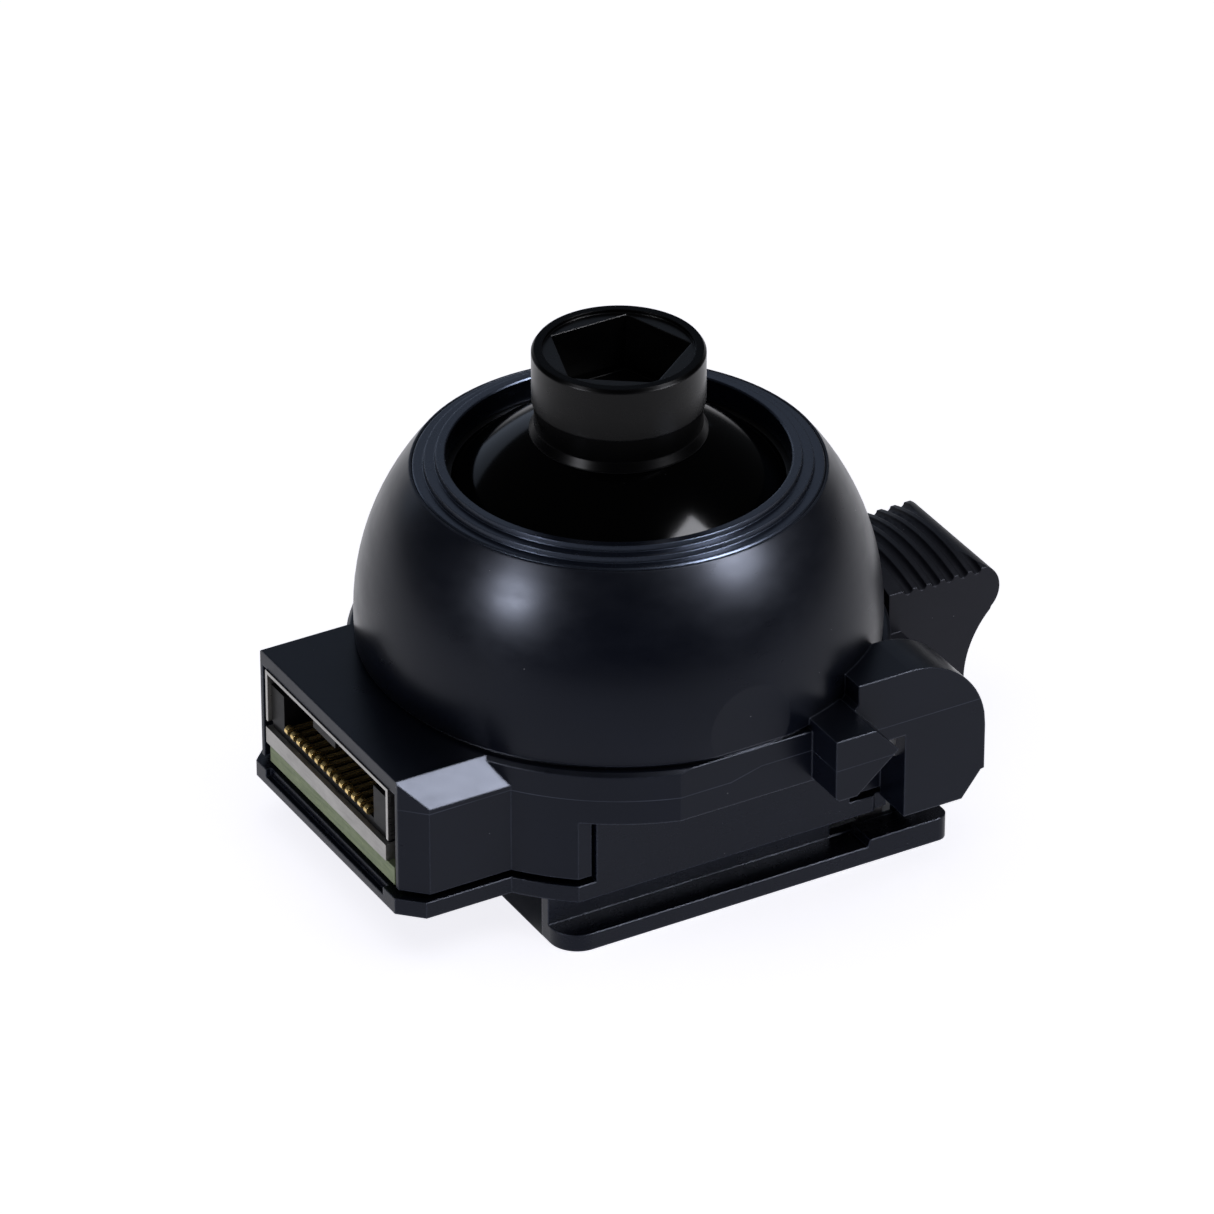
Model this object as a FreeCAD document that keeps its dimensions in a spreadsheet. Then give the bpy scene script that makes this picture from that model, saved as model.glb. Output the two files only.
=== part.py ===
import FreeCAD, Part
import Sketcher
import math
import os
import re

# Quick-release pan tilt ball mount, in millimetres.
# Z is up, X runs along the slide rails towards the release lever, the connector faces -X,
# and the origin is on the underside of the rails, below the centre of the ball.

SIZES = {
    # slide shoe
    "rail_rear": 15.0, "rail_front": 19.6, "rail_half": 18.1, "flange_high": 1.45, "lock_high": 2.05,
    "lock_from": 11.6, "neck_half": 15.4, "neck_thick": 1.0, "web_low": 3.05, "rail_corner": 2.4,
    # base cover
    "base_low": 3.85, "base_high": 5.25, "base_radius": 21.5, "wall_half": 17.0, "wall_thick": 1.4,
    "wall_rear": 11.6, "wall_front": 11.0, "wall_high": 10.65, "base_end": 18.6, "lip_reach": 26.2,
    "lip_half": 13.2,
    # housing
    "skirt_low": 5.8, "skirt_half": 16.8, "overhang": 10.95, "ledge": 15.45, "band_radius": 21.3,
    "flat_half": 20.4, "dome_radius": 20.7, "dome_top": 30.45, "ball_centre": 17.6, "cavity": 18.4,
    "inner_wall": 19.2, "groove_radius": 20.3, "groove_high": 0.3, "edge_break": 0.3,
    "hood_reach": 25.75, "hood_half": 13.0, "hood_bevel": 2.0, "hood_corner": 1.8, "hood_skin": 1.3,
    "mouth_half": 10.8,
    # pivot bosses and lugs
    "pivot_along": 14.2, "pivot_high": 11.25, "boss_radius": 6.95, "boss_inner": 15.5,
    "boss_rear": 9.6, "foot_rear": 13.9, "foot_front": 21.15, "foot_low": 5.0,
    "lug_half": 24.0, "lug_rear": 5.5, "lug_tip": 11.1, "lug_high": 16.35, "lug_tip_high": 14.05,
    # ball joint
    "ring_outer": 16.0, "ring_inner": 13.4, "ring_seat": 29.45, "ring_step": 0.45,
    "ball_radius": 17.35, "ball_inner": 14.35, "ball_cut": 18.8, "bore": 3.05,
    "collar_radius": 6.75, "neck_radius": 6.55, "stem_top": 40.75, "collar_low": 36.35,
    "socket_radius": 5.7, "socket_low": 35.6, "socket_turn": 54.5, "sink_radius": 5.9, "sink_deep": 0.3,
    "shank": 3.0, "nut_across": 4.3,
    # release lever
    "pad_rear": 21.15, "pad_half": 5.9, "pad_crown": 16.2, "crown_radius": 17.9, "nose_along": 29.0,
    "nose_high": 13.15, "nose_radius": 2.4, "arm_inner": 13.9, "arm_outer": 15.1, "bar_low": 8.25,
    "bar_high": 11.6, "bar_rear": 19.95, "bar_front": 22.3, "rib_pitch": 1.27, "rib_radius": 0.42,
    "rib_first": 22.9, "pin_radius": 1.45,
    # connector
    "plug_offset": 0.2, "shell_half": 10.0, "shell_low": 9.2, "shell_high": 14.15, "shell_front": 25.85,
    "shell_rear": 21.65, "shell_skin": 0.3, "board_low": 5.85, "board_high": 7.4, "board_half": 10.5,
    "pitch": 1.0, "contact_wide": 0.45,
}
CONTACTS = 14
RIBS = 6
SIDES = (-1, 1)

doc = FreeCAD.newDocument("PanTiltMount")
sheet = doc.addObject("Spreadsheet::Sheet", "Dimensions")
for row, (alias, value) in enumerate(SIZES.items(), 1):
    sheet.set("A%d" % row, alias)
    sheet.set("B%d" % row, str(value))
    sheet.setAlias("B%d" % row, alias)
doc.recompute()

ALIAS = re.compile(r"\b(" + "|".join(sorted(SIZES, key=len, reverse=True)) + r")\b")
nodes = []


def formula(text):
    """An expression in which each bare alias reads its cell of the sheet."""
    return ALIAS.sub(r"Dimensions.\1", str(text))


def bind(item, **sizes):
    for key, text in sizes.items():
        item.setExpression(key, formula(text))
    return item


def place(item, x="0", y="0", z="0"):
    for axis, text in (("x", x), ("y", y), ("z", z)):
        item.setExpression("Placement.Base." + axis, formula(text))
    return item


def turn(item, axis, degrees):
    item.Placement.Rotation = FreeCAD.Rotation(FreeCAD.Vector(*axis), degrees)


def block(name, x, y, z):
    """A box between two formulas along each axis."""
    item = doc.addObject("Part::Box", name)
    bind(item, Length="(%s) - (%s)" % (x[1], x[0]))
    bind(item, Width="(%s) - (%s)" % (y[1], y[0]))
    bind(item, Height="(%s) - (%s)" % (z[1], z[0]))
    return place(item, x[0], y[0], z[0])


def drum(name, radius, z, x="0", y="0"):
    """An upright cylinder."""
    item = doc.addObject("Part::Cylinder", name)
    bind(item, Radius=radius, Height="(%s) - (%s)" % (z[1], z[0]))
    return place(item, x, y, z[0])


def rod(name, radius, y, x="0", z="0"):
    """A cylinder lying along Y."""
    item = doc.addObject("Part::Cylinder", name)
    turn(item, (1, 0, 0), -90)
    bind(item, Radius=radius, Height="(%s) - (%s)" % (y[1], y[0]))
    return place(item, x, y[0], z)


def globe(name, radius):
    """A ball about the centre of the joint."""
    item = doc.addObject("Part::Sphere", name)
    bind(item, Radius=radius)
    return place(item, z="ball_centre")


def combine(kind, name, shapes):
    item = doc.addObject(kind, name)
    item.Shapes = shapes
    return item


def join(name, shapes):
    return combine("Part::MultiFuse", name, shapes)


def common(name, shapes):
    return combine("Part::MultiCommon", name, shapes)


def cut(name, base, tools):
    item = doc.addObject("Part::Cut", name)
    item.Base = base
    item.Tool = tools[0] if len(tools) == 1 else join(name + "Tools", tools)
    return item


def outline(name, role, points):
    """A body with a closed sketch whose corners are bound to formulas."""
    body = doc.addObject("PartDesign::Body", name)
    sketch = body.newObject("Sketcher::SketchObject", name + "Sketch")
    plane = [item for item in body.Origin.OriginFeatures if item.Role == role][0]
    sketch.AttachmentSupport = [(plane, "")]
    sketch.MapMode = "FlatFace"
    count = len(points)
    start = []
    for corner in range(count):
        angle = 2 * math.pi * corner / count
        start.append(FreeCAD.Vector(10 * math.cos(angle), 10 * math.sin(angle), 0))
    for corner in range(count):
        sketch.addGeometry(Part.LineSegment(start[corner], start[(corner + 1) % count]))
    for corner in range(count):
        sketch.addConstraint(Sketcher.Constraint("Coincident", corner, 2, (corner + 1) % count, 1))
    for corner, pair in enumerate(points):
        for kind, text in zip(("DistanceX", "DistanceY"), pair):
            index = sketch.addConstraint(Sketcher.Constraint(kind, -1, 1, corner, 1, 1.0))
            sketch.setExpression("Constraints[%d]" % index, formula(text))
    return body, sketch


def slab(name, role, points, low, high):
    """A flat outline padded between two heights along its plane's normal.

    The XZ plane's normal is -Y, so a pad on it starts at the high side.
    """
    body, sketch = outline(name, role, points)
    pad = body.newObject("PartDesign::Pad", name + "Pad")
    pad.Profile = sketch
    bind(pad, Length="(%s) - (%s)" % (high, low))
    body.Tip = pad
    axis, at = {"XY_Plane": ("z", low), "XZ_Plane": ("y", high), "YZ_Plane": ("x", low)}[role]
    return place(body, **{axis: at})


def turned(name, points):
    """A radius-height outline turned about the Z axis."""
    body, sketch = outline(name, "XZ_Plane", points)
    sweep = body.newObject("PartDesign::Revolution", name + "Turn")
    sweep.Profile = sketch
    sweep.ReferenceAxis = (sketch, ["V_Axis"])
    sweep.Angle = 360
    body.Tip = sweep
    return body


def node(item, label):
    item.Label = label
    nodes.append(item)
    return item


def sided(side, low, high):
    """A span of Y on one side of the middle plane, given by its distances from it."""
    return (low, high) if side > 0 else ("-(%s)" % high, "-(%s)" % low)


def coil(name, radius, wire, length, turns):
    """A round-wire helix that starts on the XY plane."""
    spine = doc.addObject("Part::Helix", name + "Spine")
    bind(spine, Radius=radius, Height=length, Pitch="(%s) / %s" % (length, turns))
    section = doc.addObject("Part::Circle", name + "Section")
    bind(section, Radius=wire)
    turn(section, (1, 0, 0), 90)
    place(section, x=radius)
    item = doc.addObject("Part::Sweep", name)
    item.Sections = [section]
    item.Spine = (spine, [])
    item.Solid = True
    item.Frenet = True
    return item


def screw(name, x, y, low, head, shank, length):
    """A pan-head screw seen from below: head radius, head height, slot, shank."""
    head_top = "%s + 0.7" % low
    body = join(name + "Blank", [
        drum(name + "Head", head, (low, head_top), x, y),
        drum(name + "Shank", shank, (head_top, "%s + %s" % (low, length)), x, y),
    ])
    slot = block(name + "Slot", ("%s - 0.15" % x, "%s + 0.15" % x),
                 ("%s - %s" % (y, head), "%s + %s" % (y, head)), ("%s - 0.1" % low, "%s + 0.3" % low))
    return cut(name, body, [slot])


HOUSING_SCREWS = [("-15.9", "8.5"), ("-15.9", "-8.5"), ("16", "7.5"), ("16", "-7.5")]
SHOE_SCREWS = [("-8", "11"), ("-8", "-11"), ("6", "11"), ("6", "-11")]
BOARD_SCREWS = [("-20.4", "8.4"), ("-20.4", "-8.4")]


def upper_housing():
    band_profile = [
        ("10", "overhang"), ("band_radius", "overhang"), ("band_radius", "ledge - edge_break"),
        ("band_radius - edge_break", "ledge"), ("10", "ledge"),
    ]
    reach = "band_radius + 1"
    inside = block("WithinFlats", ("-(%s)" % reach, reach), ("-flat_half", "flat_half"), ("0", "50"))
    within_skirt = block("WithinSkirt", ("-(%s)" % reach, reach), ("-skirt_half", "skirt_half"),
                         ("skirt_low", "overhang"))
    dome_span = block("DomeSpan", ("-30", "30"), ("-30", "30"), ("ledge", "dome_top"))
    dome = common("DomeShape", [globe("DomeBall", "dome_radius"), dome_span])
    groove = cut("BaseGroove", drum("GrooveOuter", "30", ("ledge", "ledge + groove_high")),
                 [drum("GrooveInner", "groove_radius", ("ledge - 1", "ledge + 1"))])
    round_part = common("RoundPart", [join("DomeAndBand", [
        cut("GroovedDome", dome, [groove]), turned("Band", band_profile)]), inside])
    skirt = common("Skirt", [drum("SkirtDrum", "band_radius", ("skirt_low", "overhang")), within_skirt])
    hood_profile = [
        ("-hood_half", "skirt_low"), ("hood_half", "skirt_low"), ("hood_half", "ledge - hood_bevel"),
        ("hood_half - hood_bevel", "ledge"), ("-hood_half + hood_bevel", "ledge"),
        ("-hood_half", "ledge - hood_bevel"),
    ]
    hood_plan = [
        ("-hood_reach", "-hood_half + hood_corner"), ("-hood_reach + hood_corner", "-hood_half"),
        ("-12", "-hood_half"), ("-12", "hood_half"), ("-hood_reach + hood_corner", "hood_half"),
        ("-hood_reach", "hood_half - hood_corner"),
    ]
    hood = common("Hood", [slab("HoodSection", "YZ_Plane", hood_profile, "-hood_reach", "-12"),
                           slab("HoodPlan", "XY_Plane", hood_plan, "skirt_low", "ledge")])
    solids = [round_part, skirt, hood]
    foot_profile = [
        ("foot_rear", "foot_low"), ("foot_front - 2", "foot_low"), ("foot_front - 0.3", "foot_low + 2.2"),
        ("foot_front", "foot_low + 2.25"), ("foot_front", "pivot_high"), ("foot_front - 0.1", "overhang + 1.55"),
        ("foot_rear", "overhang + 1.55"),
    ]
    lug_profile = [
        ("lug_rear", "overhang + 0.3"), ("lug_rear", "lug_high"), ("lug_rear + 3.5", "lug_high"),
        ("lug_tip", "lug_tip_high"), ("lug_rear + 1.9", "overhang"), ("lug_rear + 0.3", "overhang"),
    ]
    hollows = [
        globe("BallCavity", "cavity"),
        drum("RingSeat", "ring_outer + 0.05", ("ring_seat", "dome_top + 1")),
        drum("BandCavity", "cavity", ("overhang", "ball_centre")),
        common("SkirtCavity", [drum("SkirtCavityDrum", "cavity", ("skirt_low - 1", "overhang")),
                               block("SkirtCavitySpan", ("-20", "20"), ("-15.3", "15.3"),
                                     ("skirt_low - 1", "overhang"))]),
        block("HoodCavity", ("-hood_reach + 1.4", "-inner_wall - 0.1"), ("-mouth_half", "mouth_half"),
              ("skirt_low - 1", "ledge - hood_skin")),
        block("HoodMouth", ("-hood_reach - 1", "-hood_reach + 2"), ("-mouth_half", "mouth_half"),
              ("skirt_low - 1", "ledge - hood_skin + 0.05")),
        cut("LeverNotch", block("NotchSpan", ("12", "23"), ("-13", "13"), ("skirt_low - 1", "ledge - 0.8")),
            [drum("NotchWall", "inner_wall", ("0", "20"))]),
        cut("PadNotch", block("PadNotchSpan", ("16", "23"), ("-pad_half - 0.4", "pad_half + 0.4"),
                              ("ledge - 1", "ledge + 0.01")),
            [drum("PadNotchWall", "dome_radius - 0.1", ("0", "20"))]),
    ]
    for side in SIDES:
        tag = "Left" if side > 0 else "Right"
        across = sided(side, "boss_inner", "flat_half")
        solids += [
            common("Boss" + tag, [
                rod("BossRound" + tag, "boss_radius", across, "pivot_along", "pivot_high"),
                block("BossSpan" + tag, ("0", "30"), across, ("overhang + 1.5", "30"))]),
            block("BossRoot" + tag, ("boss_rear", "pivot_along"), across,
                  ("overhang + 1.5", "pivot_high + boss_radius")),
            block("Shoulder" + tag, ("0", "lug_tip"), across, ("overhang", "ledge")),
            block("HighShoulder" + tag, ("lug_tip - 1", "pivot_along + 5"), across, ("overhang + 1.5", "ledge - 2")),
            slab("Foot" + tag, "XZ_Plane", foot_profile, *sided(side, "skirt_half", "flat_half")),
            block("FootRoot" + tag, ("wall_front + 0.35", "foot_front - 1.5"), sided(side, "boss_inner", "wall_half"),
                  ("skirt_low", "overhang + 1.5")),
            slab("Lug" + tag, "XZ_Plane", lug_profile, *sided(side, "18.5", "lug_half")),
        ]
        wall_gap = sided(side, "15.3", "25")
        arm_gap = sided(side, "12.9", "boss_inner")
        hollows += [
            block("WallGap" + tag, ("-wall_rear - 0.35", "wall_front + 0.35"), wall_gap,
                  ("skirt_low - 2", "overhang")),
            block("ArmGap" + tag, ("10", "23"), arm_gap, ("skirt_low - 1", "ledge - 0.8")),
            block("Recess" + tag, ("lug_tip + 0.05", "foot_rear"), sided(side, "skirt_half", "25"),
                  ("skirt_low - 2", "overhang + 1.5")),
            rod("PinBore" + tag, "pin_radius + 0.02", sided(side, "15", "19.05"), "pivot_along", "pivot_high"),
            rod("SpringPocket" + tag, "3.3", sided(side, "15", "16.4"), "pivot_along", "pivot_high"),
        ]
    body = cut("HousingShell", join("HousingBlank", solids), hollows)
    posts = []
    bores = []
    for index, (x, y) in enumerate(HOUSING_SCREWS):
        posts.append(drum("HousingPost%d" % index, "1.9", ("skirt_low", "overhang + 1"), x, y))
        bores.append(drum("HousingBore%d" % index, "1", ("skirt_low - 1", "overhang - 0.5"), x, y))
    for index, (x, y) in enumerate(BOARD_SCREWS):
        posts.append(drum("BoardPost%d" % index, "1.15", ("board_high", "ledge - 1"), x, y))
        bores.append(drum("BoardBore%d" % index, "0.7", ("board_high - 1", "board_high + 3"), x, y))
    return cut("Housing", join("HousingWithPosts", [body] + posts), bores)


def base_cover():
    plan = [
        ("-lip_reach", "-lip_half + hood_corner"), ("-lip_reach + hood_corner", "-lip_half"),
        ("-12", "-lip_half"), ("-12", "lip_half"), ("-lip_reach + hood_corner", "lip_half"),
        ("-lip_reach", "lip_half - hood_corner"),
    ]
    tongue = slab("BaseTongue", "XY_Plane", plan, "base_low", "base_high")
    disc = common("BaseDisc", [
        drum("BaseDrum", "base_radius", ("base_low", "base_high")),
        block("BaseSpan", ("-base_radius", "base_end"), ("-wall_half", "wall_half"), ("base_low", "base_high"))])
    solids = [tongue, disc]
    holes = [
        block("LipScoop", ("-lip_reach - 1", "-lip_reach + 0.45"), ("-9.5", "9.8"),
              ("base_low + 0.7", "base_high + 1")),
        drum("PostHole", "2", ("0", "10")),
    ]
    for side in SIDES:
        tag = "Left" if side > 0 else "Right"
        solids.append(block("SideWall" + tag, ("-wall_rear", "wall_front"),
                            sided(side, "wall_half - wall_thick", "wall_half"), ("base_low", "wall_high")))
        solids.append(block("EdgeTab" + tag, ("8", "foot_rear + 0.6"), sided(side, "15", "skirt_half - 0.1"),
                            ("base_low", "base_high")))
        holes.append(block("HookSlot" + tag, ("10.1", "16.4"), sided(side, "12.8", "15.6"), ("0", "10")))
    for index, (x, y) in enumerate(SHOE_SCREWS):
        solids.append(drum("ShoePost%d" % index, "1.8", ("base_high", "base_high + 2.6"), x, y))
        holes.append(drum("ShoeBore%d" % index, "0.83", ("0", "base_high + 2"), x, y))
    for index, (x, y) in enumerate(HOUSING_SCREWS):
        holes.append(drum("ScrewSink%d" % index, "1.8", ("0", "base_low + 0.8"), x, y))
        holes.append(drum("ScrewHole%d" % index, "1.05", ("0", "10"), x, y))
    for index, (x, y) in enumerate(BOARD_SCREWS):
        holes.append(drum("BoardRelief%d" % index, "1.3", ("base_high - 0.6", "base_high + 1"), x, y))
    return cut("Base", join("BaseBlank", solids), holes)


def rounded_plate(name, x, half, z, rear, front):
    """A flat plate with a round corner of radius rear at its -X end and front at its +X end."""
    solids = [
        block(name + "Middle", ("%s + %s" % (x[0], rear), "%s - %s" % (x[1], front)), ("-(%s)" % half, half), z),
        block(name + "RearEnd", (x[0], "%s + %s" % (x[0], rear)),
              ("-(%s) + %s" % (half, rear), "%s - %s" % (half, rear)), z),
        block(name + "FrontEnd", ("%s - %s" % (x[1], front), x[1]),
              ("-(%s) + %s" % (half, front), "%s - %s" % (half, front)), z),
    ]
    for side in SIDES:
        tag = name + ("Left" if side > 0 else "Right")
        ends = (("Rear", rear, "%s + %s" % (x[0], rear)), ("Front", front, "%s - %s" % (x[1], front)))
        for end, radius, along in ends:
            across = "%d * (%s - %s)" % (side, half, radius)
            solids.append(drum(tag + end, radius, z, along, across))
    return join(name, solids)


def slide_shoe():
    step_profile = [
        ("lock_from", "0"), ("rail_front", "0"), ("rail_front", "lock_high"), ("lock_from + 0.7", "lock_high"),
    ]
    plan = rounded_plate("ShoePlan", ("-rail_rear", "rail_front"), "rail_half", ("0", "lock_high"), "rail_corner", "1")
    low = block("FlangeLayer", ("-rail_rear", "rail_front"), ("-rail_half", "rail_half"), ("0", "flange_high"))
    step = slab("LockStep", "XZ_Plane", step_profile, "-rail_half", "rail_half")
    rails = common("Rails", [plan, join("RailLayers", [low, step])])
    inner = "neck_half - neck_thick"
    solids = [
        cut("OuterRails", rails, [block("RailGap", ("-20", "25"), ("-(%s)" % inner, inner), ("-1", "4"))]),
        block("Web", ("-12", "13"), ("-neck_half", "neck_half"), ("web_low", "base_low")),
    ]
    holes = [drum("WebHole", "7", ("0", "5"))]
    for side in SIDES:
        tag = "Left" if side > 0 else "Right"
        solids.append(block("Neck" + tag, ("-rail_rear", "rail_front - 1.5"),
                            sided(side, inner, "neck_half"), ("0", "base_low")))
        holes.append(block("HookWindow" + tag, ("10.2", "16.3"), sided(side, "12.8", "neck_half + 0.1"),
                           ("flange_high + 0.1", "5")))
    for index, (x, y) in enumerate(SHOE_SCREWS):
        holes.append(drum("ShoeSink%d" % index, "1.6", ("0", "web_low + 0.35"), x, y))
        holes.append(drum("ShoeHole%d" % index, "0.95", ("0", "5"), x, y))
    return cut("Shoe", join("ShoeBlank", solids), holes)


def retaining_ring():
    outer = "ring_outer"
    top = "dome_top + 0.1"
    profile = [
        ("ring_inner", "ring_seat"), (outer, "ring_seat"), (outer, "%s - 0.12" % top),
        ("%s - 0.12" % outer, top), ("%s - 0.85" % outer, top),
        ("%s - 0.95" % outer, "%s + ring_step" % top), ("%s - 1.75" % outer, "%s + ring_step" % top),
        ("%s - 1.85" % outer, "%s + 2 * ring_step" % top), ("ring_inner + 0.1", "%s + 2 * ring_step" % top),
        ("ring_inner", "%s + 2 * ring_step - 0.1" % top),
    ]
    return turned("Ring", profile)


def seat_liner():
    shell = cut("LinerShell", globe("LinerOuter", "cavity - 0.05"), [globe("LinerInner", "ball_radius + 0.15")])
    zone = block("LinerZone", ("-20", "20"), ("-20", "20"), ("ball_centre + 7.7", "ring_seat - 0.1"))
    return common("Liner", [shell, zone])


def tilt_ball():
    zone = block("BallZone", ("-20", "20"), ("-20", "20"), ("ball_cut", "40"))
    cap = common("BallCap", [globe("BallOuter", "ball_radius"), zone])
    seat = drum("NutSeat", "5.2", ("ball_centre", "ball_centre + ball_inner"))
    return cut("Ball", cap, [globe("BallInner", "ball_inner"), seat, drum("StemBore", "bore", ("20", "40"))])


def stem():
    profile = [
        ("0", "33"), ("neck_radius + 0.4", "33"), ("neck_radius + 0.4", "33.6"), ("neck_radius", "34.3"),
        ("neck_radius", "collar_low - 0.15"), ("collar_radius", "collar_low"),
        ("collar_radius", "stem_top - 0.3"), ("collar_radius - 0.2", "stem_top"), ("0", "stem_top"),
    ]
    seated = cut("StemBody", turned("StemBlank", profile), [globe("StemSeat", "ball_radius + 0.07")])
    shank = drum("StemShank", "shank", ("28.9", "socket_low"))
    socket = doc.addObject("Part::Prism", "KeySocket")
    socket.Polygon = 5
    bind(socket, Circumradius="socket_radius", Height="stem_top - socket_low + 1")
    turn(socket, (0, 0, 1), SIZES["socket_turn"])
    place(socket, z="socket_low")
    sink = drum("SocketSink", "sink_radius", ("stem_top - sink_deep", "stem_top + 1"))
    return cut("Stem", join("StemWithShank", [seated, shank]), [socket, sink])


def stem_washer():
    low = "ball_centre + ball_inner - 0.65"
    disc = drum("WasherDisc", "4.8", (low, "%s + 0.6" % low))
    return cut("Washer", disc, [drum("WasherHole", "shank + 0.02", ("20", "40"))])


def stem_nut():
    high = "ball_centre + ball_inner - 0.7"
    nut = doc.addObject("Part::Prism", "NutHex")
    nut.Polygon = 6
    bind(nut, Circumradius="nut_across", Height="2")
    place(nut, z="%s - 2" % high)
    return cut("Nut", nut, [drum("NutHole", "shank + 0.02", ("20", "40"))])


def pressure_cup():
    profile = [
        ("shank + 0.3", "17.15"), ("7", "17.15"), ("14.5", "21.2"), ("14.5", "27.3"), ("9.6", "27.3"),
        ("9.6", "22.6"), ("5.6", "20.2"), ("5.6", "23.6"), ("shank + 0.3", "23.6"),
    ]
    return common("Cup", [turned("CupBlank", profile), globe("CupFace", "ball_inner - 0.2")])


def guide_post():
    profile = [
        ("0", "base_low + 0.1"), ("1.95", "base_low + 0.1"), ("1.95", "base_high + 0.02"),
        ("6", "base_high + 0.02"), ("6", "base_high + 1"), ("shank + 0.2", "base_high + 1"),
        ("shank + 0.2", "24.4"), ("shank - 0.2", "24.8"), ("0", "24.8"),
    ]
    return turned("Post", profile)


def washer_ring(name, outer, low, high):
    disc = drum(name + "Disc", outer, (low, high))
    return cut(name, disc, [drum(name + "Hole", "shank + 0.3", ("0", "40"))])


def pressure_spring():
    item = coil("Spring", "5.6", "0.55", "7.4", 5)
    return place(item, z="8.2")


def release_lever():
    paddle_profile = [
        ("pad_rear", "bar_low"), ("24.2", "bar_low - 0.2"), ("25.4", "foot_low + 0.3"),
        ("28.3", "foot_low + 0.3"), ("nose_along + 1.67", "nose_high - 1.72"), ("nose_along", "nose_high"),
        ("nose_along", "20"), ("pad_rear", "20"),
    ]
    span = ("-pad_half", "pad_half")
    paddle = join("PaddleBlank", [
        slab("PaddleSlab", "XZ_Plane", paddle_profile, *span),
        rod("PaddleNose", "nose_radius", span, "nose_along", "nose_high")])
    crown = doc.addObject("Part::Cylinder", "CrownDrum")
    turn(crown, (0, 1, 0), 90)
    bind(crown, Radius="crown_radius", Height="20")
    place(crown, x="15", z="pad_crown - crown_radius")
    crowned = common("CrownedPaddle", [paddle, crown])
    arm_profile = [
        ("pivot_along", "pivot_high - 2.2"), ("bar_rear", "bar_low"), ("bar_front", "bar_low"),
        ("bar_front", "bar_high"), ("pivot_along", "pivot_high + 2.2"),
    ]
    solids = [crowned, block("CrossBar", ("bar_rear", "bar_front"), ("-arm_outer", "arm_outer"),
                             ("bar_low", "bar_high"))]
    cuts = [rod("UnderHook", "8.25", ("-10", "10"), "36.5", "foot_low + 0.45")]
    for rib in range(RIBS):
        groove = doc.addObject("Part::Torus", "RibGroove%d" % rib)
        turn(groove, (0, 1, 0), 90)
        bind(groove, Radius1="crown_radius + 0.05", Radius2="rib_radius")
        place(groove, x="rib_first + %d * rib_pitch" % rib, z="pad_crown - crown_radius")
        cuts.append(groove)
    cuts.append(block("PaddleHollow", ("bar_front + 0.8", "26.6"), ("-pad_half + 1.3", "pad_half - 1.3"),
                      ("0", "pad_crown - 2.8")))
    for side in SIDES:
        tag = "Left" if side > 0 else "Right"
        across = sided(side, "arm_inner", "arm_outer")
        solids.append(slab("Arm" + tag, "XZ_Plane", arm_profile, *across))
        solids.append(rod("Eye" + tag, "2.2", across, "pivot_along", "pivot_high"))
        cuts.append(rod("EyeHole" + tag, "pin_radius + 0.05", sided(side, "10", "20"),
                        "pivot_along", "pivot_high"))
        cuts.append(rod("RivetHole" + tag, "0.62", sided(side, "10", "20"), "18", "pivot_high - 1"))
    return cut("Lever", join("LeverBlank", solids), cuts)


def latch_hooks():
    profile = [
        ("12.9", "1.95"), ("15.2", "1.95"), ("15.2", "6"), ("19.3", "9"), ("19.3", "11.2"), ("16.4", "11.2"),
        ("12.9", "7.5"),
    ]
    hooks = []
    for side in SIDES:
        tag = "Left" if side > 0 else "Right"
        plate = slab("HookPlate" + tag, "XZ_Plane", profile, *sided(side, "13.05", "arm_inner - 0.02"))
        toe = block("HookToe" + tag, ("12.9", "15.2"), sided(side, "13.05", "15.1"), ("1.95", "2.7"))
        hooks.append(cut("Hook" + tag, join("HookBlank" + tag, [plate, toe]),
                         [rod("HookHole" + tag, "0.62", sided(side, "10", "20"), "18", "pivot_high - 1")]))
    return combine_solids("Hooks", hooks)


def combine_solids(name, solids):
    item = doc.addObject("Part::Compound", name)
    item.Links = solids
    return item


def hook_rivets():
    rivets = []
    for side in SIDES:
        tag = "Left" if side > 0 else "Right"
        at = {"x": "18", "z": "pivot_high - 1"}
        rivets.append(join("Rivet" + tag, [
            rod("RivetBody" + tag, "0.6", sided(side, "12.75", "arm_outer + 0.1"), **at),
            rod("RivetHead" + tag, "1.1", sided(side, "12.7", "13.03"), **at)]))
    return combine_solids("Rivets", rivets)


def lever_pins():
    pins = []
    for side in SIDES:
        tag = "Left" if side > 0 else "Right"
        pins.append(rod("Pin" + tag, "pin_radius", sided(side, "arm_inner + 0.05", "19"),
                        "pivot_along", "pivot_high"))
    return combine_solids("Pins", pins)


def lever_springs():
    """Tightly wound torsion springs around the pins: their turns touch, so each is one solid."""
    springs = []
    for side in SIDES:
        tag = "Left" if side > 0 else "Right"
        turns = []
        for index in range(2):
            ring = doc.addObject("Part::Torus", "SpringTurn%s%d" % (tag, index))
            turn(ring, (1, 0, 0), -90)
            bind(ring, Radius1="2.35", Radius2="0.28")
            turns.append(place(ring, "pivot_along", "%s * (15.65 + %d * 0.45)" % (side, index), "pivot_high"))
        springs.append(join("LeverSpring" + tag, turns))
    return combine_solids("LeverSprings", springs)


def docking_board():
    return block("Board", ("-hood_reach + 0.05", "-inner_wall - 0.2"), ("-board_half", "board_half - 0.6"),
                 ("board_low", "board_high"))


def drilled_board():
    holes = [drum("BoardHole%d" % index, "0.75", ("0", "10"), x, y) for index, (x, y) in enumerate(BOARD_SCREWS)]
    return cut("DrilledBoard", docking_board(), holes)


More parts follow.
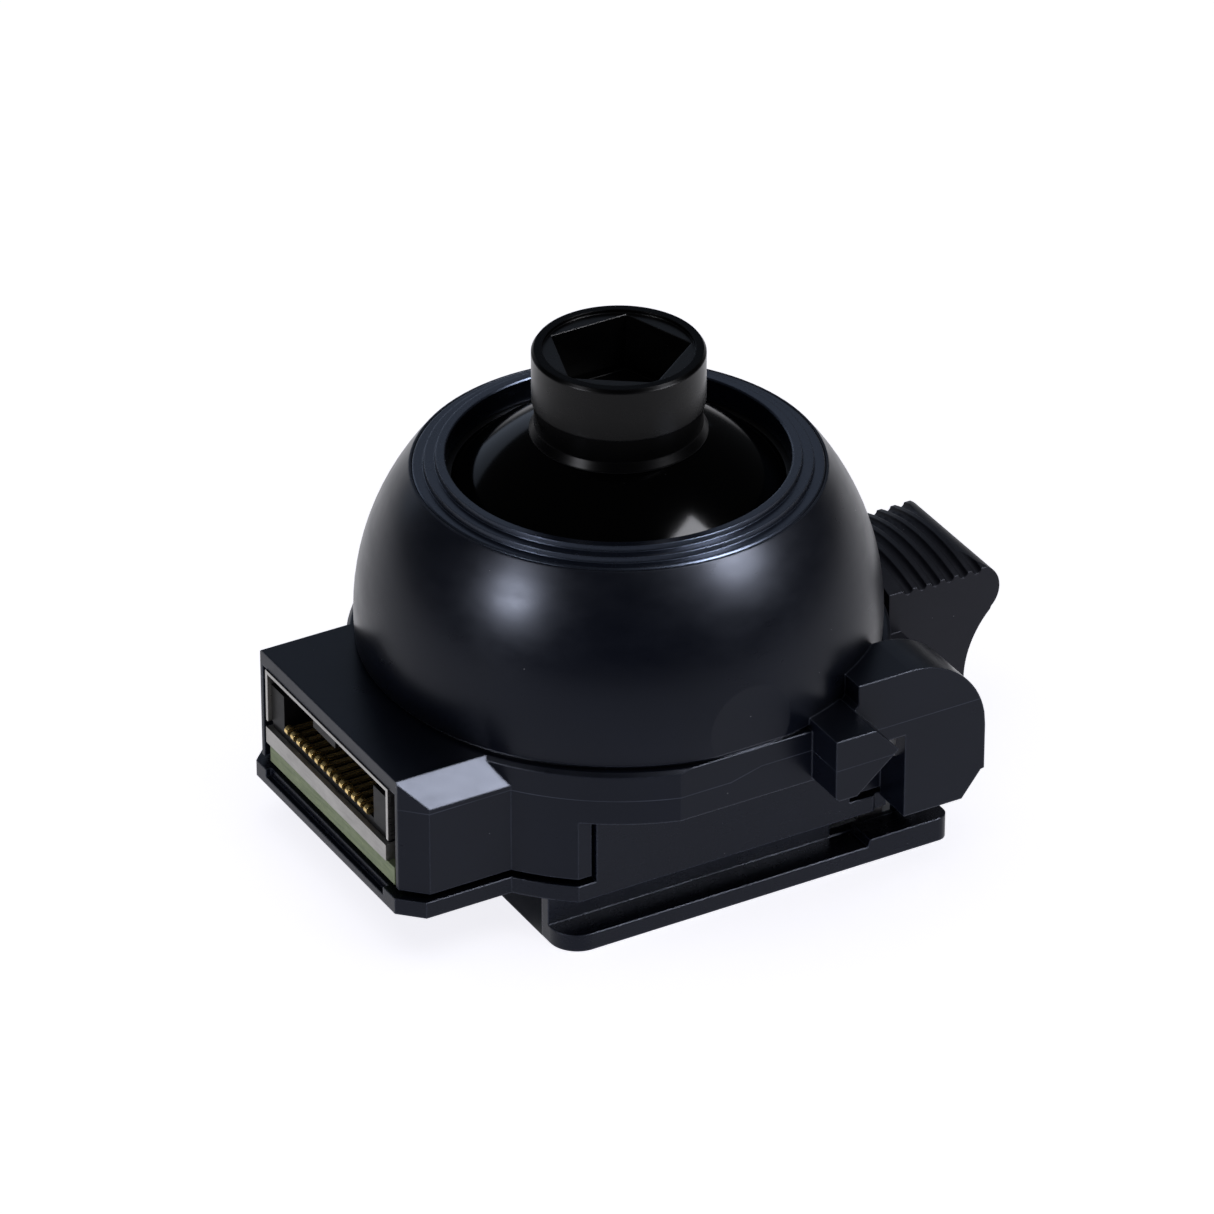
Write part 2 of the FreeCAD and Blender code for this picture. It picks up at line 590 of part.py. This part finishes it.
def connector_shell():
    along = ("-shell_front", "-shell_rear")
    low = "plug_offset - shell_half"
    high = "plug_offset + shell_half"
    outer = block("ShellOuter", along, (low, high), ("shell_low", "shell_high"))
    inner = block("ShellInner", ("-30", "-20"), ("%s + shell_skin" % low, "%s - shell_skin" % high),
                  ("shell_low + shell_skin", "shell_high - shell_skin"))
    relief = block("ShellRelief", ("-30", "-hood_reach + 1.02"), (low + " - 1", high + " + 1"),
                   ("shell_low - 1", "shell_low + 0.32"))
    return cut("Shell", outer, [inner, relief])


def connector_insulator():
    low = "plug_offset - shell_half + shell_skin + 0.02"
    high = "plug_offset + shell_half - shell_skin - 0.02"
    floor = "shell_low + shell_skin + 0.02"
    roof = "shell_high - shell_skin - 0.02"
    front = "-shell_front + 0.35"
    back = "-shell_rear - 0.05"
    return join("Insulator", [
        block("InsulatorBack", ("-shell_rear - 1.2", back), (low, high), (floor, roof)),
        block("InsulatorFloor", ("%s + 0.1" % front, back), (low, high), (floor, "%s + 0.2" % floor)),
        block("InsulatorApron", ("%s + 0.1" % front, "-hood_reach + 0.97"), ("%s + 0.3" % low, high),
              ("shell_low - 0.33", "%s + 0.1" % floor)),
        block("InsulatorLeft", (front, back), ("%s - 2.1" % high, high), (floor, "%s - 1" % roof)),
        block("InsulatorRight", (front, back), ("%s + 0.6" % low, "%s + 2.6" % low), (floor, "%s - 1" % roof)),
        block("InsulatorKey", (front, back), ("plug_offset - 0.9", "plug_offset + 2.7"), ("%s - 1.1" % roof, roof)),
    ])


def connector_contacts():
    floor = "shell_low + shell_skin + 0.24"
    contacts = []
    for index in range(CONTACTS):
        middle = "plug_offset + 0.3 + (%s) * pitch" % (index - (CONTACTS - 1) / 2)
        across = ("%s - contact_wide / 2" % middle, "%s + contact_wide / 2" % middle)
        contacts.append(join("Contact%d" % index, [
            block("ContactRun%d" % index, ("-shell_front + 0.4", "-shell_rear - 1.25"), across,
                  ("%s + 0.3" % floor, "%s + 0.55" % floor)),
            rod("ContactTip%d" % index, "0.38", across, "-shell_front + 0.42", "%s + 0.4" % floor)]))
    return combine_solids("Contacts", contacts)


def connector_flange():
    return block("Flange", ("-shell_front + 0.02", "-hood_reach + 1"),
                 ("plug_offset - shell_half + 0.45", "plug_offset + shell_half + 0.1"),
                 ("board_high + 0.02", "shell_low - 0.35"))


def screw_group(name, places, low, head, shank, length):
    screws = [screw("%s%d" % (name, index), x, y, low, head, shank, length)
              for index, (x, y) in enumerate(places)]
    return combine_solids(name + "Group", screws)


node(upper_housing(), "upper_housing")
node(base_cover(), "base_cover")
node(slide_shoe(), "slide_shoe")
node(retaining_ring(), "retaining_ring")
node(seat_liner(), "seat_liner")
node(tilt_ball(), "tilt_ball")
node(stem(), "stem")
node(stem_washer(), "stem_washer")
node(stem_nut(), "stem_nut")
node(pressure_cup(), "pressure_cup")
node(guide_post(), "guide_post")
node(washer_ring("SpringSeat", "8.2", "base_high + 1.05", "base_high + 2.2"), "spring_seat")
node(washer_ring("ThrustWasher", "7.6", "16.35", "17.05"), "thrust_washer")
node(pressure_spring(), "pressure_spring")
node(release_lever(), "release_lever")
node(latch_hooks(), "latch_hooks")
node(hook_rivets(), "hook_rivets")
node(lever_pins(), "lever_pins")
node(lever_springs(), "lever_springs")
node(drilled_board(), "docking_board")
node(connector_shell(), "connector_shell")
node(connector_insulator(), "connector_insulator")
node(connector_contacts(), "connector_contacts")
node(connector_flange(), "connector_flange")
node(screw_group("HousingScrew", HOUSING_SCREWS, "base_low + 0.05", "1.7", "0.97", "5.8"), "housing_screws")
node(screw_group("ShoeScrew", SHOE_SCREWS, "web_low - 0.35", "1.5", "0.8", "4"), "shoe_screws")
node(screw_group("BoardScrew", BOARD_SCREWS, "board_low - 0.72", "1.1", "0.67", "4.2"), "board_screws")

doc.recompute()
for item in doc.Objects:
    if "Invalid" in item.State or "Error" in item.State:
        raise RuntimeError("%s failed: %s" % (item.Name, item.State))

os.makedirs("parts", exist_ok=True)
for item in nodes:
    shape = item.Shape
    if shape.isNull() or not shape.isValid() or not shape.Solids:
        raise RuntimeError("%s has no valid solid" % item.Label)
    shape.exportStep("parts/%s.step" % item.Label)
    box = shape.BoundBox
    print("%-20s %2d solids %9.1f mm3  x %6.2f..%6.2f  y %6.2f..%6.2f  z %6.2f..%6.2f" % (
        item.Label, len(shape.Solids), shape.Volume, box.XMin, box.XMax, box.YMin, box.YMax, box.ZMin, box.ZMax))
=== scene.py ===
import math
import bpy
from mathutils import Matrix, Vector

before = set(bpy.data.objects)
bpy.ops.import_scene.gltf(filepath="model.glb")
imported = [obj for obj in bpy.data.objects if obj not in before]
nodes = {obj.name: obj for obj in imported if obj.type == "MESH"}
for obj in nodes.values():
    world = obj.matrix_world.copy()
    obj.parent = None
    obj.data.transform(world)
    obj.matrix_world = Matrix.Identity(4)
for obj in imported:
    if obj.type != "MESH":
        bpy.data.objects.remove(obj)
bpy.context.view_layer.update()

MM = 0.001


# ---------------------------------------------------------------- materials
NAVY = (0.0030, 0.0042, 0.0098)
RING_NAVY = (0.0045, 0.0062, 0.0135)
WORN_NAVY = (0.10, 0.115, 0.16)
BLACK = (0.008, 0.0084, 0.013)
BLUISH = (0.78, 0.84, 1.0)
DUST = (0.30, 0.31, 0.34)


class Graph:
    """A node material with a Principled shader, built by short calls."""

    def __init__(self, name):
        self.material = bpy.data.materials.new(name)
        self.material.use_nodes = True
        self.tree = self.material.node_tree
        self.shader = self.tree.nodes["Principled BSDF"]
        self.place = self.add("ShaderNodeTexCoord").outputs["Object"]

    def add(self, kind, **settings):
        node = self.tree.nodes.new(kind)
        for key, value in settings.items():
            setattr(node, key, value)
        return node

    def link(self, source, target):
        self.tree.links.new(source, target)

    def axis(self, name):
        """The object's own X, Y or Z."""
        node = self.add("ShaderNodeSeparateXYZ")
        self.link(self.place, node.inputs[0])
        return node.outputs[name]

    def noise(self, size, detail=3.0, rough=0.5, stretch=(1, 1, 1)):
        """Noise whose blotches are about size metres across."""
        mapping = self.add("ShaderNodeMapping")
        mapping.inputs["Scale"].default_value = stretch
        self.link(self.place, mapping.inputs["Vector"])
        node = self.add("ShaderNodeTexNoise")
        node.inputs["Scale"].default_value = 1 / size
        node.inputs["Detail"].default_value = detail
        node.inputs["Roughness"].default_value = rough
        self.link(mapping.outputs["Vector"], node.inputs["Vector"])
        return node.outputs["Fac"]

    def span(self, value, low, high, to_low=0.0, to_high=1.0):
        node = self.add("ShaderNodeMapRange")
        for key, number in (("From Min", low), ("From Max", high), ("To Min", to_low), ("To Max", to_high)):
            node.inputs[key].default_value = number
        self.link(value, node.inputs["Value"])
        return node.outputs["Result"]

    def math(self, operation, first, second=None):
        node = self.add("ShaderNodeMath", operation=operation)
        for socket, value in zip(node.inputs, (first, second)):
            if isinstance(value, (int, float)):
                socket.default_value = value
            elif value is not None:
                self.link(value, socket)
        return node.outputs[0]

    def specks(self, spacing, size):
        """One where a grain of dust lies, zero elsewhere."""
        node = self.add("ShaderNodeTexVoronoi")
        node.inputs["Scale"].default_value = 1 / spacing
        self.link(self.place, node.inputs["Vector"])
        near = self.math("LESS_THAN", node.outputs["Distance"], size / spacing)
        separate = self.add("ShaderNodeSeparateColor")
        self.link(node.outputs["Color"], separate.inputs["Color"])
        chosen = self.math("GREATER_THAN", separate.outputs[0], 0.8)
        return self.math("MULTIPLY", near, chosen)

    def worn_edges(self, radius):
        """Rises to one where the surface turns sharply within radius metres."""
        bevel = self.add("ShaderNodeBevel", samples=4)
        bevel.inputs["Radius"].default_value = radius
        geometry = self.add("ShaderNodeNewGeometry")
        dot = self.add("ShaderNodeVectorMath", operation="DOT_PRODUCT")
        self.link(bevel.outputs["Normal"], dot.inputs[0])
        self.link(geometry.outputs["Normal"], dot.inputs[1])
        return self.span(dot.outputs["Value"], 0.995, 0.80), bevel.outputs["Normal"]

    def mix(self, factor, first, second):
        node = self.add("ShaderNodeMix", data_type="RGBA")
        node.inputs[0].default_value = 0.0
        self.link(factor, node.inputs[0])
        for socket, value in ((node.inputs[6], first), (node.inputs[7], second)):
            if isinstance(value, tuple):
                socket.default_value = (*value, 1)
            else:
                self.link(value, socket)
        return node.outputs[2]

    def parting_line(self):
        """One along the fine line that the two halves of the mould leave on the housing."""
        step = self.span(self.axis("X"), -1.7 * MM, 1.0 * MM, 13.05 * MM, 13.72 * MM)
        off = self.math("ABSOLUTE", self.math("SUBTRACT", self.axis("Z"), step))
        return self.span(off, 0.05 * MM, 0.02 * MM)

    def collar_gloss(self, gloss):
        """Full on the stem's turned collar, low on its end face around the key socket and on its neck."""
        face = self.span(self.axis("Z"), 40.40 * MM, 40.55 * MM, gloss, gloss / 6)
        neck = self.span(self.axis("Z"), 36.20 * MM, 36.35 * MM, 0.25, 1.2)
        return self.math("MULTIPLY", face, neck)

    def beyond(self, name, middle, half):
        """One where the point lies further than half from the middle along an axis, in metres."""
        away = self.math("ABSOLUTE", self.math("SUBTRACT", self.axis(name), middle))
        return self.math("GREATER_THAN", away, half)

    def bump(self, height, depth, normal=None):
        node = self.add("ShaderNodeBump")
        node.inputs["Strength"].default_value = 1.0
        node.inputs["Distance"].default_value = depth
        self.link(height, node.inputs["Height"])
        if normal is not None:
            self.link(normal, node.inputs["Normal"])
        return node.outputs["Normal"]


def shades(colour, low, high):
    """A darker and a lighter shade of a colour."""
    return tuple(low * part for part in colour), tuple(min(1.0, high * part) for part in colour)


def moulded(name, colour, worn, rough, edge=0.16 * MM, grain=0.0006 * MM, dust=0.5, specular=0.2,
            tint=(1.0, 1.0, 1.0), parted=False, collar=False):
    """Moulded plastic: faint flow marks, fine grain, softened edges, rubbed corners and some dust."""
    g = Graph(name)
    wear, rounded = g.worn_edges(edge)
    flow = g.noise(7 * MM, 4, 0.55)
    fine = g.noise(0.12 * MM, 2, 0.5)
    base = g.mix(g.span(flow, 0.3, 0.7), *shades(colour, 0.86, 1.14))
    rubbed = g.mix(g.math("MULTIPLY", wear, g.span(flow, 0.2, 0.8, 0.3, 0.8)), base, worn)
    speck = g.specks(1.7 * MM, 0.05 * MM)
    dusty = g.mix(g.math("MULTIPLY", speck, dust), rubbed, DUST)
    if parted:
        line = g.math("MULTIPLY", g.parting_line(), g.span(flow, 0.3, 0.7, 0.15, 0.55))
        dusty = g.mix(line, dusty, worn)
    g.link(dusty, g.shader.inputs["Base Color"])
    smear = g.noise(3.2 * MM, 5, 0.6, (1, 1, 2.2))
    g.link(g.span(smear, 0.25, 0.75, rough * 0.88, rough * 1.14), g.shader.inputs["Roughness"])
    height = g.math("ADD", g.math("MULTIPLY", fine, 0.6), g.math("MULTIPLY", speck, 4.0))
    g.link(g.bump(height, grain, rounded), g.shader.inputs["Normal"])
    g.shader.inputs["Specular IOR Level"].default_value = specular
    if collar:
        g.link(g.collar_gloss(specular), g.shader.inputs["Specular IOR Level"])
    g.shader.inputs["Specular Tint"].default_value = (*tint, 1)
    return g.material


def metal(name, colour, rough, brushed=(1, 1, 1), edge=0.08 * MM):
    """Plated or machined metal with drawn marks, stains and softened edges."""
    g = Graph(name)
    wear, rounded = g.worn_edges(edge)
    stain = g.noise(2.5 * MM, 4, 0.6)
    marks = g.noise(0.15 * MM, 3, 0.6, brushed)
    stained, bright = shades(colour, 0.75, 1.3)
    tint = g.mix(g.span(stain, 0.3, 0.75), stained, colour)
    g.link(g.mix(g.math("MULTIPLY", wear, 0.5), tint, bright), g.shader.inputs["Base Color"])
    g.link(g.span(marks, 0.2, 0.8, rough * 0.75, rough * 1.35), g.shader.inputs["Roughness"])
    g.link(g.bump(marks, 0.001 * MM, rounded), g.shader.inputs["Normal"])
    g.shader.inputs["Metallic"].default_value = 1.0
    return g.material


def laminate(name):
    """Green solder mask over a glass-fibre edge whose layers run level."""
    g = Graph(name)
    wear, rounded = g.worn_edges(0.08 * MM)
    layers = g.noise(0.30 * MM, 3, 0.7, (0.12, 0.12, 1.6))
    weave = g.noise(0.5 * MM, 4, 0.6)
    tint = g.mix(g.span(layers, 0.32, 0.68), (0.12, 0.165, 0.07), (0.21, 0.26, 0.12))
    spotted = g.mix(g.span(weave, 0.62, 0.75), tint, (0.27, 0.32, 0.17))
    g.link(spotted, g.shader.inputs["Base Color"])
    g.link(g.span(weave, 0.3, 0.7, 0.45, 0.7), g.shader.inputs["Roughness"])
    g.link(g.bump(layers, 0.006 * MM, rounded), g.shader.inputs["Normal"])
    return g.material


looks = {
    "housing": moulded("navy_moulding", NAVY, WORN_NAVY, 0.30, edge=0.20 * MM, specular=0.17, tint=BLUISH,
                       parted=True),
    "ring": moulded("ring_moulding", RING_NAVY, (0.11, 0.13, 0.18), 0.26, edge=0.14 * MM, specular=0.55,
                    tint=(0.62, 0.74, 1.0)),
    "cover": moulded("cover_moulding", NAVY, WORN_NAVY, 0.27, edge=0.20 * MM, specular=0.17, tint=BLUISH),
    "lever": moulded("lever_moulding", BLACK, (0.030, 0.032, 0.040), 0.48, grain=0.004 * MM, dust=0.25,
                     specular=0.17, tint=(0.82, 0.85, 1.0)),
    "ball": moulded("polished_black", (0.0012, 0.0012, 0.0014), (0.004, 0.004, 0.005), 0.11,
                    edge=0.1 * MM, grain=0.00005 * MM, dust=0.08, specular=0.055),
    "stem": moulded("black_anodised", (0.0018, 0.0018, 0.0021), (0.030, 0.031, 0.034), 0.28,
                    edge=0.14 * MM, grain=0.0012 * MM, dust=0.12, specular=0.12, collar=True),
    "insulator": moulded("plug_black", (0.004, 0.004, 0.005), (0.02, 0.02, 0.02), 0.38,
                         edge=0.05 * MM, dust=0.2, specular=0.1),
    "shell": metal("plug_tin", (0.38, 0.37, 0.355), 0.30, (0.1, 1, 1), 0.06 * MM),
    "strip": metal("strip_tin", (0.35, 0.34, 0.325), 0.42, (1, 0.1, 1), 0.05 * MM),
    "contacts": metal("contact_gold", (0.83, 0.60, 0.24), 0.26, (0.1, 1, 1), 0.03 * MM),
    "steel": metal("zinc_steel", (0.50, 0.50, 0.52), 0.34),
    "wire": metal("spring_wire", (0.33, 0.33, 0.35), 0.30),
    "screws": metal("black_oxide", (0.045, 0.045, 0.05), 0.36),
    "acetal": moulded("black_acetal", (0.008, 0.008, 0.009), (0.03, 0.03, 0.03), 0.42, dust=0.1),
    "nylon": moulded("grey_nylon", (0.06, 0.06, 0.064), (0.1, 0.1, 0.11), 0.5, grain=0.003 * MM, dust=0.1),
    "board": laminate("board_edge"),
}
dress = {
    "housing": ["upper_housing"],
    "ring": ["retaining_ring"],
    "cover": ["base_cover", "slide_shoe"],
    "lever": ["release_lever"],
    "ball": ["tilt_ball"],
    "stem": ["stem"],
    "insulator": ["connector_insulator"],
    "shell": ["connector_shell"],
    "strip": ["connector_flange"],
    "contacts": ["connector_contacts"],
    "steel": ["latch_hooks", "hook_rivets", "lever_pins", "guide_post", "spring_seat", "stem_nut",
              "stem_washer"],
    "wire": ["pressure_spring", "lever_springs"],
    "screws": ["housing_screws", "shoe_screws", "board_screws"],
    "acetal": ["seat_liner", "thrust_washer"],
    "nylon": ["pressure_cup"],
    "board": ["docking_board"],
}
for look, members in dress.items():
    for member in members:
        item = nodes[member]
        for slot in item.material_slots:
            slot.material = looks[look]


# ---------------------------------------------------------------- camera
AXIS_POINT = Vector((0, 0, 15.45)) * MM
CAMERA_AZIMUTH = math.radians(60.388)
CAMERA_ELEVATION = math.radians(31.386)
CAMERA_DISTANCE = 680 * MM
CAMERA_LEFT = 0.902 * MM
CAMERA_UP = 1.699 * MM
LENS_MM = 258.1
SENSOR_MM = 36

level = Vector((math.cos(CAMERA_AZIMUTH), math.sin(CAMERA_AZIMUTH), 0))
forward = math.cos(CAMERA_ELEVATION) * level - math.sin(CAMERA_ELEVATION) * Vector((0, 0, 1))
right = Vector((math.sin(CAMERA_AZIMUTH), -math.cos(CAMERA_AZIMUTH), 0))
up = right.cross(forward)
camera = bpy.data.objects.new("camera", bpy.data.cameras.new("camera"))
bpy.context.collection.objects.link(camera)
spot = AXIS_POINT - CAMERA_DISTANCE * forward - CAMERA_LEFT * right + CAMERA_UP * up
turn = Matrix((right, up, -forward)).transposed()
camera.matrix_world = Matrix.Translation(spot) @ turn.to_4x4()
camera.data.lens = LENS_MM
camera.data.sensor_width = SENSOR_MM
camera.data.clip_start = 0.05
camera.data.clip_end = 20
bpy.context.scene.camera = camera


# ---------------------------------------------------------------- floor and light
FLOOR_REACH = 3.0
FLOOR_GAP = 0.02 * MM


def floor_look():
    """White ground that glows most near the part as painted light lightening its shadow, and not at all in
    the painted shade between its rails.
    """
    g = Graph("floor_white")
    g.shader.inputs["Base Color"].default_value = (0.90, 0.90, 0.905, 1)
    g.shader.inputs["Roughness"].default_value = 0.75
    g.shader.inputs["Specular IOR Level"].default_value = 0.1
    g.shader.inputs["Emission Color"].default_value = (0.955, 0.95, 1.0, 1)
    distance = g.add("ShaderNodeVectorMath", operation="LENGTH")
    g.link(g.place, distance.inputs[0])
    # Painted light: the floor glows near the part, lightening the part's shadow on it.
    glow = g.span(distance.outputs["Value"], 0.16, 0.7, 0.88, 0.16)
    # Painted shade: no glow on the floor under the part, between its rails, where shade falls.
    outside = g.math("MAXIMUM", g.beyond("X", 2.3 * MM, 17.3 * MM), g.beyond("Y", 0, 14.4 * MM))
    g.link(g.math("MULTIPLY", glow, outside), g.shader.inputs["Emission Strength"])
    return g.material


floor_mesh = bpy.data.meshes.new("floor")
corners = [(x * FLOOR_REACH, y * FLOOR_REACH, 0) for x, y in ((-1, -1), (1, -1), (1, 1), (-1, 1))]
floor_mesh.from_pydata(corners, [], [(0, 1, 2, 3)])
floor_mesh.materials.append(floor_look())
floor = bpy.data.objects.new("floor", floor_mesh)
floor.location.z = -FLOOR_GAP
bpy.context.collection.objects.link(floor)


DAYLIGHT = (0.93, 0.94, 1.0)
SKY_BLUE = (0.66, 0.78, 1.0)
WHITE = (1.0, 1.0, 1.0)


def softbox(name, direction, distance, size, power, colour=DAYLIGHT, gloss_only=True):
    """A rectangular light aimed at the part from a direction, seen in gloss or in diffuse light only."""
    data = bpy.data.lights.new(name, "AREA")
    data.shape = "RECTANGLE"
    data.size, data.size_y = size
    data.energy = power
    data.color = colour
    light = bpy.data.objects.new(name, data)
    aim = Vector(direction).normalized()
    light.location = AXIS_POINT + aim * distance
    light.rotation_mode = "QUATERNION"
    light.rotation_quaternion = aim.to_track_quat("Z", "Y")
    light.visible_camera = False
    light.visible_glossy = gloss_only
    light.visible_diffuse = not gloss_only
    bpy.context.collection.objects.link(light)


softbox("key_left", (-0.895, -0.137, 0.424), 0.9, (0.22, 0.20), 9.2)
softbox("key_right", (0.45, -0.58, 0.68), 0.9, (0.30, 0.48), 25.5)
softbox("back", (0.42, 0.74, 0.52), 0.9, (0.7, 0.5), 0.4, colour=SKY_BLUE)
softbox("backdrop", (0.0, 0.98, 0.19), 0.9, (0.9, 0.28), 0.7, colour=SKY_BLUE)
softbox("overhead", (0, 0, 1), 0.6, (0.8, 0.8), 0.8, colour=WHITE, gloss_only=False)

world = bpy.data.worlds.new("studio")
world.use_nodes = True
sky = world.node_tree.nodes["Background"]
sky.inputs["Color"].default_value = (0.80, 0.85, 0.92, 1)
sky.inputs["Strength"].default_value = 0.07
bpy.context.scene.world = world
bpy.context.scene.view_settings.view_transform = "Standard"
